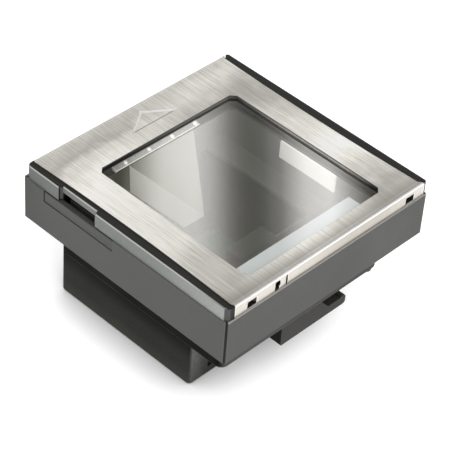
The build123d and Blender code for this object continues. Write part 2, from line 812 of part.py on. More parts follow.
with BuildPart() as mirror_frame:
    with BuildSketch(mirror_plane.offset(-mirror_thickness)):
        Rectangle(mirror_width + 3, mirror_length + 1)
        Rectangle(mirror_width - 16, mirror_length - 16, mode=Mode.SUBTRACT)
    extrude(amount=-2)
    # arms out to the side walls
    with BuildSketch(Plane.YZ.offset(block_left + block_wall)):
        with Locations((-22, 37.6)):
            Rectangle(6, 4)
    extrude(amount=10.6)
    with BuildSketch(Plane.YZ.offset(block_right - block_wall)):
        with Locations((-22, 37.6)):
            Rectangle(6, 4)
    extrude(amount=-10.6)
save(mirror_frame.part, "mirror_frame")

lens_x = -6.0
lens_z = 30.0
sensor_board_back = 51.6
sensor_board_front = sensor_board_back - 1.6

with BuildPart() as imager_bracket:
    with BuildSketch(Plane.XZ.offset(-sensor_board_back - 2)):
        with Locations((lens_x, 27.6)):
            Rectangle(50, 50.8)
            Rectangle(26, 24, mode=Mode.SUBTRACT)
    extrude(amount=2)
    with BuildSketch(Plane.XY.offset(block_wall)):
        with Locations((lens_x, sensor_board_back + 5)):
            Rectangle(50, 10)
    extrude(amount=2)
save(imager_bracket.part, "imager_bracket")

with BuildPart() as imager_board:
    with BuildSketch(Plane.XZ.offset(-sensor_board_back)):
        with Locations((lens_x, lens_z)):
            RectangleRounded(40, 36, 1)
            with GridLocations(34, 30, 2, 2):
                Circle(1.3, mode=Mode.SUBTRACT)
    extrude(amount=1.6)
save(imager_board.part, "imager_board")

with BuildPart() as image_sensor:
    with BuildSketch(Plane.XZ.offset(-sensor_board_front)):
        with Locations((lens_x, lens_z)):
            Rectangle(10, 9)
    extrude(amount=1.2)
save(image_sensor.part, "image_sensor")

with BuildPart() as lens_holder:
    with BuildSketch(Plane.XZ.offset(-sensor_board_front)):
        with Locations((lens_x, lens_z)):
            Rectangle(18, 18)
    extrude(amount=6)
    with BuildSketch(Plane.XZ.offset(-sensor_board_front)):
        with Locations((lens_x, lens_z)):
            Rectangle(12, 11)
    extrude(amount=2, mode=Mode.SUBTRACT)
    with BuildSketch(Plane.XZ.offset(-sensor_board_front + 2)):
        with Locations((lens_x, lens_z)):
            Circle(4)
    extrude(amount=4, mode=Mode.SUBTRACT)
    with BuildSketch(Plane.XZ.offset(-sensor_board_front + 4)):
        with Locations((lens_x, lens_z)):
            Circle(6.5)
    extrude(amount=2, mode=Mode.SUBTRACT)
save(lens_holder.part, "lens_holder")

barrel_back = sensor_board_front - 4
barrel_front = 34.0

with BuildPart() as lens_barrel:
    with BuildSketch(Plane.XZ.offset(-barrel_back)):
        with Locations((lens_x, lens_z)):
            Circle(6.45)
    extrude(amount=barrel_back - barrel_front)
    with BuildSketch(Plane.XZ.offset(-barrel_front - 2.5)):
        with Locations((lens_x, lens_z)):
            Circle(7.4)
    extrude(amount=2.5)
    with BuildSketch(Plane.XZ.offset(-barrel_back)):
        with Locations((lens_x, lens_z)):
            Circle(4)
    extrude(amount=barrel_back - barrel_front, mode=Mode.SUBTRACT)
    with BuildSketch(Plane.XZ.offset(-barrel_front)):
        with Locations((lens_x, lens_z)):
            Circle(5)
    extrude(amount=-3, mode=Mode.SUBTRACT)
save(lens_barrel.part, "lens_barrel")

with BuildPart() as front_lens:
    with BuildSketch(Plane.XZ.offset(-barrel_front - 3)):
        with Locations((lens_x, lens_z)):
            Circle(4.95)
    extrude(amount=2)
    fillet(front_lens.edges().group_by(Axis.Y)[0], 0.8)
save(front_lens.part, "front_lens")

# ------------------------------------------------------------------ main board and its parts
with BuildPart() as main_board:
    with BuildSketch(Plane.XY.offset(board_low)):
        with Locations((lens_x, 6.25)):
            outline = Rectangle(94, 75.5)
        chamfer(outline.vertices(), 2.5)
        with Locations(*board_screw_places):
            Circle(1.3, mode=Mode.SUBTRACT)
    extrude(amount=board_thickness)
save(main_board.part, "main_board")

with BuildPart() as processor_chips:
    with BuildSketch(Plane.XY.offset(board_top)):
        with Locations((-18, 22)):
            Rectangle(14, 14)
        with Locations((2, 20), (14, 20)):
            Rectangle(8, 11)
        with Locations((28, 14)):
            Rectangle(7, 7)
    extrude(amount=1.2)
save(processor_chips.part, "processor_chips")

with BuildPart() as shield_can:
    with BuildSketch(Plane.XY.offset(board_top)):
        with Locations((-40, 25)):
            RectangleRounded(17, 22, 0.8)
    extrude(amount=3)
    with BuildSketch(Plane.XY.offset(board_top)):
        with Locations((-40, 25)):
            Rectangle(16.4, 21.4)
    extrude(amount=2.7, mode=Mode.SUBTRACT)
save(shield_can.part, "shield_can")

port_front = block_front + 1.5

with BuildPart() as host_port:
    with BuildSketch(Plane.XZ.offset(-port_front)):
        with Locations((host_x, board_top + host_height / 2)):
            Rectangle(host_width, host_height)
    extrude(amount=-16)
    with BuildSketch(Plane.XZ.offset(-port_front)):
        with Locations((host_x, board_top + 7)):
            Rectangle(12, 8.2)
        with Locations((host_x, board_top + 11.4)):
            Rectangle(4.2, 1.2)
    extrude(amount=-12, mode=Mode.SUBTRACT)
save(host_port.part, "host_port")

with BuildPart() as service_port:
    with BuildSketch(Plane.XZ.offset(-port_front)):
        with Locations((service_x, board_top + service_height / 2)):
            Rectangle(service_width, service_height)
    extrude(amount=-14)
    with BuildSketch(Plane.XZ.offset(-port_front)):
        with Locations((service_x, board_top + service_height / 2)):
            mouth = Rectangle(8.6, 7.9)
        chamfer(mouth.vertices().group_by(Axis.Y)[-1], 1.6)
        with Locations((service_x, board_top + service_height / 2 - 0.2)):
            Rectangle(5.6, 3, mode=Mode.SUBTRACT)
    extrude(amount=-10, mode=Mode.SUBTRACT)
save(service_port.part, "service_port")

with BuildPart() as push_button:
    with BuildSketch(Plane.XZ.offset(-block_front - block_wall - 0.4)):
        with Locations((button_x, button_z)):
            Circle(button_radius)
    extrude(amount=2.6)
    fillet(push_button.edges().group_by(Axis.Y)[0], 0.5)
    with BuildSketch(Plane.XZ.offset(-block_front - block_wall - 0.02)):
        with Locations((button_x, button_z)):
            Circle(button_radius + 1)
    extrude(amount=-1.1)
save(push_button.part, "push_button")

with BuildPart() as button_switch:
    with BuildSketch(Plane.XY.offset(board_top)):
        with Locations((button_x, -27.6)):
            Rectangle(6, 3.6)
    extrude(amount=9.4)
    with BuildSketch(Plane.XZ.offset(29.4)):
        with Locations((button_x, button_z)):
            Circle(1.7)
    extrude(amount=0.8)
save(button_switch.part, "button_switch")

# a flat cable from the imager board down to the main board, with a connector at each end
cable_width = 16.0
ribbon = 0.3

with BuildPart() as flat_cable:
    with BuildSketch(Plane.YZ.offset(lens_x - cable_width / 2)):
        with BuildLine():
            drop = Line((48.6, 15.6), (48.6, 10.6))
            bend = TangentArc(drop @ 1, (44.6, 6.6), tangent=(0, -1))
            Line(bend @ 1, (41.2, 6.6))
        trace(line_width=ribbon)
    extrude(amount=cable_width)
save(flat_cable.part, "flat_cable")

with BuildPart() as cable_connectors:
    with BuildSketch(Plane.XZ.offset(-sensor_board_front)):
        with Locations((lens_x, 16)):
            Rectangle(cable_width + 3, 4)
    extrude(amount=2.2)
    with BuildSketch(Plane.XY.offset(board_top)):
        with Locations((lens_x, 40)):
            Rectangle(cable_width + 3, 4)
    extrude(amount=2)
    # the slots the cable ends sit in
    with BuildSketch(Plane.XZ.offset(-48.85)):
        with Locations((lens_x, 14.6)):
            Rectangle(cable_width + 0.4, 3)
    extrude(amount=0.5, mode=Mode.SUBTRACT)
    with BuildSketch(Plane.XY.offset(6.35)):
        with Locations((lens_x, 41.4)):
            Rectangle(cable_width + 0.4, 3)
    extrude(amount=0.5, mode=Mode.SUBTRACT)
save(cable_connectors.part, "cable_connectors")

# ------------------------------------------------------------------ speaker
speaker_radius = 14.0
speaker_floor = tray_bottom + tray_wall

with BuildPart() as speaker_gasket:
    with BuildSketch(Plane.XY.offset(speaker_floor)):
        with Locations((speaker_x, speaker_y)):
            Circle(speaker_radius)
            Circle(speaker_radius - 2, mode=Mode.SUBTRACT)
    extrude(amount=0.6)
save(speaker_gasket.part, "speaker_gasket")

with BuildPart() as speaker:
    with BuildSketch(Plane.XY.offset(speaker_floor + 0.6)):
        with Locations((speaker_x, speaker_y)):
            Circle(speaker_radius)
    extrude(amount=2.2)
    with BuildSketch(Plane.XY.offset(speaker_floor + 2.8)):
        with Locations((speaker_x, speaker_y)):
            Circle(speaker_radius - 5)
    extrude(amount=3)
save(speaker.part, "speaker")


# ------------------------------------------------------------------ screws
def screw(place, seat, head_radius, head_height, shank_radius, length, up):
    """Add one screw whose head bears at height seat; up is 1 for a head above its shank, else -1."""
    with BuildSketch(Plane.XY.offset(seat)) as head:
        with Locations(place):
            Circle(head_radius)
    extrude(head.sketch, amount=up * head_height)
    with BuildSketch(Plane.XY.offset(seat + up * head_height)) as cross:
        with Locations(place):
            Rectangle(head_radius * 1.2, 0.5)
            Rectangle(0.5, head_radius * 1.2)
    extrude(cross.sketch, amount=-up * head_height * 0.5, mode=Mode.SUBTRACT)
    with BuildSketch(Plane.XY.offset(seat)) as shank:
        with Locations(place):
            Circle(shank_radius)
    extrude(shank.sketch, amount=-up * length)


with BuildPart() as chassis_screws:
    for post in chassis_posts:
        screw(post, chassis_post_top + 2, 2.8, 1.8, 1.05, 9, 1)
save(chassis_screws.part, "chassis_screws")

with BuildPart() as housing_screws:
    for post in housing_screw_places:
        screw(post, floor_top, 2.8, 1.8, 1.05, 10, 1)
save(housing_screws.part, "housing_screws")

with BuildPart() as board_screws:
    for post in board_screw_places:
        screw(post, board_top, 2.2, 1.4, 0.85, 3.6, 1)
save(board_screws.part, "board_screws")

with BuildPart() as tray_screws:
    for post in tray_screw_places:
        screw(post, tray_bottom + 2.2, 2.4, 1.6, 1.05, 14, -1)
save(tray_screws.part, "tray_screws")

with BuildPart() as hook_screws:
    for post in hook_screw_places:
        screw(post, hook_low + 4, 2.4, 1.8, 1.05, 15, -1)
save(hook_screws.part, "hook_screws")
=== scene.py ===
import math

import bmesh
import bpy
from mathutils import Matrix, Vector


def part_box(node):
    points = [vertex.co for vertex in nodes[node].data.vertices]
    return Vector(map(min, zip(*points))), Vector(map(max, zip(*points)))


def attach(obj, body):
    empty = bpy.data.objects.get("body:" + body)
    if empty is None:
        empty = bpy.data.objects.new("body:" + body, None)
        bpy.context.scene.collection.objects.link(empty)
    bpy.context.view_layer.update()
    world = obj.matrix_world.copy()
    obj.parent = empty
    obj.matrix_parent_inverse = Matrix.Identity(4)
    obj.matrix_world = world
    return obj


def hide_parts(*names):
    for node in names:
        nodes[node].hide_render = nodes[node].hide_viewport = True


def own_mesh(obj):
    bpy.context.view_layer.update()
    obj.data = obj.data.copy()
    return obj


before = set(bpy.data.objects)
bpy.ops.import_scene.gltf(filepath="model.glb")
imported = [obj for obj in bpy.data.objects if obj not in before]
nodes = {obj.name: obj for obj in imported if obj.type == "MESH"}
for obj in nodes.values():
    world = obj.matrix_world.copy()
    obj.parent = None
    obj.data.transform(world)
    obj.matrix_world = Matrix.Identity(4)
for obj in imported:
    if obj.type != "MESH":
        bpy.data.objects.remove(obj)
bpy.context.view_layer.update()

# places that the materials refer to, in metres
body_half = 0.076
body_wall_top = 0.0874
cover_half = 0.075
bend_start = 0.0728
window_half = 0.0507
window_front = -0.0647
window_back = 0.0457
triangle_half = 0.0165
triangle_base = 0.056
triangle_height = 0.0111
block_height = 0.062
block_left = -0.056
light_pitch = 0.0173
first_light = -0.0286
light_row = 0.0476


def link(name, data):
    """An object that holds the data, in the scene."""
    item = bpy.data.objects.new(name, data)
    bpy.context.scene.collection.objects.link(item)
    return item


# ------------------------------------------------------------------ shader helpers
class Shader:
    """A small wrapper round a material's node tree."""

    def __init__(self, name):
        self.material = bpy.data.materials.new(name)
        self.material.use_nodes = True
        self.tree = self.material.node_tree
        self.tree.nodes.clear()
        self.output = self.tree.nodes.new("ShaderNodeOutputMaterial")
        self.coords = self.add("ShaderNodeTexCoord")

    def add(self, kind, values=None, **settings):
        """Make a node, set its properties, and feed its inputs."""
        item = self.tree.nodes.new(kind)
        for key, value in settings.items():
            setattr(item, key, value)
        for key, value in (values or {}).items():
            self.feed(item, key, value)
        return item

    def feed(self, item, key, value):
        """Link a socket to an input, or set the input's own value."""
        socket = item.inputs[key]
        if isinstance(value, bpy.types.NodeSocket):
            self.tree.links.new(value, socket)
        else:
            socket.default_value = value

    def scaled(self, scale, turn=(0, 0, 0)):
        """Object coordinates in metres, stretched by scale."""
        values = {"Vector": self.coords.outputs["Object"], "Scale": scale, "Rotation": turn}
        return self.add("ShaderNodeMapping", values).outputs["Vector"]

    def noise(self, vector, scale, detail=3.0, roughness=0.5):
        values = {"Vector": vector, "Scale": scale, "Detail": detail, "Roughness": roughness}
        return self.add("ShaderNodeTexNoise", values).outputs["Fac"]

    def ramp(self, factor, stops, interpolation="LINEAR"):
        item = self.add("ShaderNodeValToRGB", {"Fac": factor})
        item.color_ramp.interpolation = interpolation
        while len(item.color_ramp.elements) < len(stops):
            item.color_ramp.elements.new(1.0)
        for element, (place, colour) in zip(item.color_ramp.elements, stops):
            element.position = place
            element.color = (*colour, 1.0)
        return item.outputs["Color"]

    def grey_ramp(self, factor, stops):
        """A softly eased ramp of grey levels."""
        return self.ramp(factor, [(place, (level, level, level)) for place, level in stops], "EASE")

    def span(self, factor, low, high, to_low, to_high, smooth=False):
        """Map a factor from one range to another, clamped."""
        item = self.add(
            "ShaderNodeMapRange",
            {"Value": factor, "From Min": low, "From Max": high, "To Min": to_low, "To Max": to_high},
            interpolation_type="SMOOTHSTEP" if smooth else "LINEAR",
        )
        return item.outputs["Result"]

    def blotches(self, factor):
        """Stretch the middle of a noise to the whole range from 0 to 1."""
        return self.span(factor, 0.3, 0.7, 0.0, 1.0)

    def between(self, factor, low, rise, fall, high):
        """1 between rise and fall, and 0 below low and above high."""
        return self.product(self.span(factor, low, rise, 0.0, 1.0), self.span(factor, fall, high, 1.0, 0.0))

    def math(self, operation, first, second=0.0):
        return self.add("ShaderNodeMath", {0: first, 1: second}, operation=operation).outputs["Value"]

    def product(self, first, *others):
        """Factors multiplied together."""
        for other in others:
            first = self.math("MULTIPLY", first, other)
        return first

    def mix(self, factor, first, second, blend="MIX"):
        item = self.add("ShaderNodeMix", data_type="RGBA", blend_type=blend)
        self.feed(item, 0, factor)
        self.feed(item, 6, (*first, 1.0) if isinstance(first, tuple) else first)
        self.feed(item, 7, (*second, 1.0) if isinstance(second, tuple) else second)
        return item.outputs[2]

    def soft_edge(self, radius):
        """The shading normal with corners rounded off."""
        return self.add("ShaderNodeBevel", {"Radius": radius}, samples=4).outputs["Normal"]

    def edge_mask(self, radius, gain=3.0):
        """About 1 along the corners and 0 on the flats."""
        wide = self.soft_edge(radius)
        flat = self.add("ShaderNodeNewGeometry").outputs["Normal"]
        item = self.add("ShaderNodeVectorMath", {0: wide, 1: flat}, operation="DOT_PRODUCT")
        away = self.math("SUBTRACT", 1.0, item.outputs["Value"])
        return self.span(self.math("MULTIPLY", away, gain), 0.05, 0.9, 0.0, 1.0)

    def bump(self, height, strength, distance, normal=None):
        item = self.add("ShaderNodeBump", {"Height": height, "Strength": strength, "Distance": distance})
        if normal is not None:
            self.feed(item, "Normal", normal)
        return item.outputs["Normal"]

    def place_parts(self):
        """The object coordinates x, y and z in metres."""
        item = self.add("ShaderNodeSeparateXYZ", {"Vector": self.coords.outputs["Object"]})
        return item.outputs["X"], item.outputs["Y"], item.outputs["Z"]

    def normal_parts(self):
        """The face normal's x, y and z."""
        normal = self.add("ShaderNodeNewGeometry").outputs["Normal"]
        item = self.add("ShaderNodeSeparateXYZ", {"Vector": normal})
        return item.outputs["X"], item.outputs["Y"], item.outputs["Z"]

    def crevice(self, distance, darkest):
        """A factor that falls towards darkest where other faces are near."""
        item = self.add("ShaderNodeAmbientOcclusion", {"Distance": distance}, samples=8)
        return self.span(item.outputs["AO"], 0.25, 0.95, darkest, 1.0)

    def surface(self, shader):
        self.tree.links.new(shader, self.output.inputs["Surface"])
        return self.material

    def principled(self, values):
        return self.add("ShaderNodeBsdfPrincipled", values).outputs["BSDF"]


def shade(base, change):
    """A colour made darker or lighter."""
    return tuple(max(0.0, min(1.0, channel * change)) for channel in base)


def painted_body_light_and_shade(sh, colour, base):
    """On the square body: painted shade near black in the corner grooves, painted shade on the back end of
    the left face, and painted light on the narrow top ledge.
    """
    east, north, height = sh.place_parts()
    towards, _, up = sh.normal_parts()
    # painted shade on the back end of the faces towards -X
    back_end = sh.span(north, 0.040, body_half, 0.0, 0.45)
    back_end = sh.product(sh.span(towards, -0.95, -0.8, 1.0, 0.0), back_end)
    colour = sh.mix(back_end, colour, shade(base, 0.3))
    wide = sh.math("ABSOLUTE", east)
    deep = sh.math("ABSOLUTE", north)
    # painted light on the narrow top ledge outside the cover, palest at the front, in place of its shade
    ledge = sh.product(
        sh.span(up, 0.7, 0.95, 0.0, 1.0),
        sh.span(height, body_wall_top - 0.0002, body_wall_top, 0.0, 1.0),
        sh.span(sh.math("MAXIMUM", wide, deep), cover_half - 0.0004, cover_half - 0.0001, 0.0, 1.0),
    )
    at_front = sh.span(north, 0.0001 - cover_half, 0.0005 - cover_half, 1.0, 0.0)
    colour = sh.mix(ledge, colour, sh.mix(at_front, (0.09, 0.09, 0.085), (0.28, 0.27, 0.25)))
    # painted shade near black along the grooves of the vertical corners
    off_corner = sh.math("ABSOLUTE", sh.math("SUBTRACT", wide, deep))
    groove = sh.product(
        sh.span(off_corner, 0.0006, 0.0010, 1.0, 0.0),
        sh.span(wide, body_half - 0.0025, body_half - 0.0015, 0.0, 1.0),
    )
    return sh.mix(groove, colour, (0.001, 0.001, 0.001))


def moulded(
    name,
    base,
    rough=0.45,
    grain=0.00035,
    depth=0.00003,
    edge_wear_and_highlight=0.35,
    dust=0.12,
    left=1.0,
    crevice_shade=1.0,
    reach=0.035,
    shine=0.5,
    body=False,
):
    """Moulded plastic: fine texture, slow colour variation, corners lighter from rubbing and from a painted
    highlight, and a little dust.

    left sets painted shade on the faces towards -X (1 leaves them, 0 paints them near black), the crevice
    shade level paints shade into crevices up to reach metres wide, and body adds the painted light and
    shade of the square body.
    """
    edge = 0.0006
    sh = Shader(name)
    place = sh.coords.outputs["Object"]
    slow = sh.noise(place, 22.0, 4.0, 0.6)
    fine = sh.noise(place, 1.0 / grain * 0.35, 2.0, 0.5)
    colour = sh.mix(sh.blotches(slow), shade(base, 0.86), shade(base, 1.14))
    colour = sh.mix(sh.span(fine, 0.35, 0.65, 0.0, 0.35), colour, shade(base, 0.7))
    specks = sh.noise(place, 900.0, 2.0, 0.7)
    colour = sh.mix(sh.span(specks, 0.68, 0.8, 0.0, dust), colour, (0.5, 0.49, 0.46))
    # painted shade: the faces towards -X darkened towards near black
    if left < 1.0:
        towards, _, _ = sh.normal_parts()
        colour = sh.mix(sh.span(towards, -0.9, -0.3, 1.0 - left, 0.0), colour, shade(base, 0.02))
    # painted shade in crevices, where other faces are near
    if crevice_shade < 1.0:
        colour = sh.mix(sh.crevice(reach, crevice_shade), shade(base, 0.05), colour)
    # corners lighter from rubbing and from a painted highlight
    rubbed_and_lit_edges = sh.product(sh.edge_mask(edge * 1.6), sh.span(slow, 0.35, 0.65, edge_wear_and_highlight * 0.4, edge_wear_and_highlight))
    colour = sh.mix(rubbed_and_lit_edges, colour, shade(tuple(c + 0.05 for c in base), 2.0))
    # the painted light and shade of the square body
    if body:
        colour = painted_body_light_and_shade(sh, colour, base)
    roughness = sh.span(slow, 0.3, 0.7, rough - 0.07, rough + 0.09)
    normal = sh.bump(fine, 0.5, depth, sh.soft_edge(edge))
    values = {"Base Color": colour, "Roughness": roughness, "Normal": normal, "Specular IOR Level": shine}
    return sh.surface(sh.principled(values))


def brushed(name, base, rough, turn=(0, 0, 0)):
    """Brushed metal: long fine lines in colour, roughness and relief, with brighter corners."""
    streak = 0.00012
    contrast = 0.12
    edge = 0.0004
    sh = Shader(name)
    along = sh.scaled((1.0, 0.012, 1.0), turn)
    lines = sh.noise(along, 1.0 / streak * 0.4, 3.0, 0.65)
    bands = sh.noise(sh.scaled((1.0, 0.05, 1.0), turn), 90.0, 3.0, 0.6)
    cloud = sh.noise(sh.coords.outputs["Object"], 14.0, 3.0, 0.5)
    colour = sh.mix(sh.blotches(lines), shade(base, 1 - contrast), shade(base, 1 + contrast * 0.6))
    colour = sh.mix(sh.span(bands, 0.35, 0.7, 0.0, 0.45), colour, shade(base, 0.82))
    colour = sh.mix(sh.edge_mask(edge * 1.5), colour, shade(base, 1.25))
    roughness = sh.math(
        "ADD", sh.span(lines, 0.3, 0.7, rough - 0.05, rough + 0.07), sh.span(cloud, 0.3, 0.7, -0.03, 0.04)
    )
    normal = sh.bump(lines, 0.35, 0.00002, sh.soft_edge(edge))
    values = {"Base Color": colour, "Metallic": 1.0, "Roughness": roughness, "Normal": normal}
    return sh.surface(sh.principled(values))


# ------------------------------------------------------------------ materials
def painted_steel_reflection(sh, east, north):
    """Painted reflection: broad light and dark bands over the top sheet, which differ on the left, the
    right and the front.
    """
    cloud = sh.noise(sh.coords.outputs["Object"], 26.0, 3.0, 0.6)
    wander = sh.product(sh.math("SUBTRACT", cloud, 0.5), 0.05)
    along = sh.span(sh.math("ADD", north, wander), -body_half, body_half, 0.0, 1.0)
    across = sh.span(sh.math("ADD", east, wander), -body_half, body_half, 0.0, 1.0)
    stops = [(0.0, 0.60), (0.06, 0.52), (0.22, 0.62), (0.48, 0.94)]
    stops += [(0.72, 1.0), (0.87, 0.72), (0.93, 0.46), (1.0, 0.60)]
    left = sh.grey_ramp(along, stops)
    stops = [(0.0, 0.44), (0.08, 0.42), (0.18, 0.68), (0.33, 1.14)]
    stops += [(0.55, 0.80), (0.74, 0.48), (0.90, 0.80), (1.0, 0.66)]
    right = sh.grey_ramp(along, stops)
    stops = [(0.0, 0.50), (0.12, 0.52), (0.28, 0.70), (0.42, 0.98)]
    stops += [(0.66, 0.74), (0.84, 0.42), (1.0, 0.50)]
    front = sh.grey_ramp(across, stops)
    sides = sh.mix(sh.span(east, -0.035, 0.035, 0.0, 1.0, smooth=True), left, right)
    return sh.mix(sh.span(north, -0.066, -0.058, 1.0, 0.0, smooth=True), sides, front)


def painted_lip_reflection(sh, east):
    """The front lip's painted reflection, in tones from left to right."""
    return sh.ramp(
        sh.span(east, -0.072, 0.074, 0.0, 1.0),
        [
            (0.0, (0.60, 0.56, 0.50)),
            (0.08, (0.64, 0.61, 0.55)),
            (0.32, (0.58, 0.55, 0.49)),
            (0.48, (0.48, 0.45, 0.40)),
            (0.60, (0.44, 0.415, 0.365)),
            (0.75, (0.46, 0.435, 0.385)),
            (0.89, (0.56, 0.53, 0.48)),
            (1.0, (0.62, 0.60, 0.56)),
        ],
    )


def painted_triangle_light_and_shade(sh, colour, east, north):
    """The pressed triangle: painted highlights on both sides, the right one brighter, and painted shade
    along its base line.
    """
    wide = sh.math("ABSOLUTE", east)
    rise = sh.math("DIVIDE", sh.math("SUBTRACT", north, triangle_base), triangle_height)
    # climb is 1 along the two outer sides and less inside the triangle
    climb = sh.math("ADD", sh.math("DIVIDE", wide, triangle_half), rise)
    # painted highlights along the two upper sides, the right one brighter
    rightward = sh.span(east, -0.0005, 0.0, 0.0, 0.95)
    right_side = sh.product(sh.between(climb, 0.92, 0.95, 1.05, 1.08), rightward)
    left_side = sh.product(sh.between(climb, 0.905, 0.935, 1.0, 1.02), 0.14)
    above_base = sh.span(north, triangle_base, triangle_base + 0.0006, 0.0, 1.0)
    painted_highlights = sh.product(sh.math("MAXIMUM", right_side, left_side), above_base)
    colour = sh.mix(painted_highlights, colour, (2.1, 2.1, 2.05))
    # painted shade along the base line
    off_line = sh.math("ABSOLUTE", sh.math("SUBTRACT", north, triangle_base + 0.00017))
    base_line = sh.product(
        sh.span(off_line, 0.00018, 0.00045, 0.4, 0.0),
        sh.span(wide, triangle_half - 0.003, triangle_half - 0.001, 1.0, 0.0),
    )
    return sh.mix(base_line, colour, (0.20, 0.18, 0.16))


def steel_top():
    """The used brushed top sheet: grain from front to back, broad bands of painted reflection, painted
    highlights and shade on its bends and pressed triangle, and faint scuffs.
    """
    sh = Shader("brushed_top")
    east, north, _ = sh.place_parts()
    wide = sh.math("ABSOLUTE", east)
    _, facing, up = sh.normal_parts()
    lines = sh.noise(sh.scaled((1.0, 0.010, 0.010)), 4600.0, 3.0, 0.7)
    streaks = sh.noise(sh.scaled((1.0, 0.016, 0.016)), 1300.0, 4.0, 0.75)
    # painted reflection: broad light and dark bands, with the colour raised above 1
    colour = sh.mix(1.0, (1.28, 1.25, 1.175), painted_steel_reflection(sh, east, north), "MULTIPLY")
    # upright faces take painted reflection tones from left to right
    upright = sh.span(up, 0.2, 0.9, 1.0, 0.0)
    colour = sh.mix(sh.product(upright, 0.95), colour, painted_lip_reflection(sh, east))
    # the grain is calmer on the lips
    calm = sh.span(up, 0.2, 0.9, 0.3, 1.0)
    colour = sh.mix(sh.product(calm, sh.span(lines, 0.32, 0.62, 0.46, 0.0)), colour, (0.16, 0.155, 0.14))
    colour = sh.mix(sh.product(calm, sh.span(streaks, 0.48, 0.70, 0.0, 0.34)), colour, (0.22, 0.21, 0.19))
    colour = sh.mix(sh.product(calm, sh.span(streaks, 0.30, 0.42, 0.25, 0.0)), colour, (1.1, 1.09, 1.05))
    # painted shade: a darker band behind the front bend
    painted_dark_band = sh.product(sh.span(north, -bend_start, -0.0660, 0.72, 0.0), sh.span(up, 0.60, 0.78, 0.0, 1.0))
    colour = sh.mix(painted_dark_band, colour, (0.30, 0.285, 0.26))
    # painted highlights on the edges of the front bend and on the walls of the pressed triangle
    in_triangle = sh.product(
        sh.span(north, triangle_base + 0.0008, triangle_base + 0.0012, 0.0, 1.0),
        sh.span(wide, triangle_half + 0.0005, triangle_half + 0.0015, 1.0, 0.0),
        sh.span(north, 0.068, 0.069, 1.0, 0.0),
    )
    at_bend = sh.span(north, 0.0003 - cover_half, 0.0010 - cover_half, 1.0, 0.0)
    edges = sh.product(sh.edge_mask(0.0008, 4.0), sh.math("MAXIMUM", in_triangle, at_bend))
    colour = sh.mix(edges, colour, (1.15, 1.14, 1.10))
    # a painted highlight along the crest of the front bend, and painted shade on the back bend
    fold = sh.product(sh.between(up, 0.1, 0.3, 0.62, 0.78), sh.span(north, -0.073, -0.072, 0.9, 0.0))
    colour = sh.mix(fold, colour, (1.3, 1.29, 1.25))
    colour = sh.mix(sh.span(facing, 0.10, 0.45, 0.0, 0.75), colour, (0.20, 0.19, 0.17))
    # the cut edge of the window opening is painted dark, as shade
    opening = sh.product(
        sh.span(north, window_back + 0.0005, window_back + 0.0011, 1.0, 0.0),
        sh.span(wide, window_half + 0.0005, window_half + 0.0011, 1.0, 0.0),
        sh.span(north, window_front - 0.0011, window_front - 0.0005, 0.0, 1.0),
    )
    colour = sh.mix(sh.product(opening, upright), colour, (0.12, 0.115, 0.10))
    colour = painted_triangle_light_and_shade(sh, colour, east, north)
    scuff = sh.noise(sh.scaled((0.05, 1.0, 1.0), (0, 0, 0.6)), 1500.0, 2.0, 0.6)
    roughness = sh.span(lines, 0.25, 0.75, 0.27, 0.40)
    roughness = sh.math("ADD", roughness, sh.span(scuff, 0.62, 0.75, 0.0, 0.10))
    normal = sh.bump(lines, 0.35, 0.00002, sh.soft_edge(0.0005))
    values = {"Base Color": colour, "Metallic": 1.0, "Roughness": roughness, "Normal": normal}
    return sh.surface(sh.principled(values))


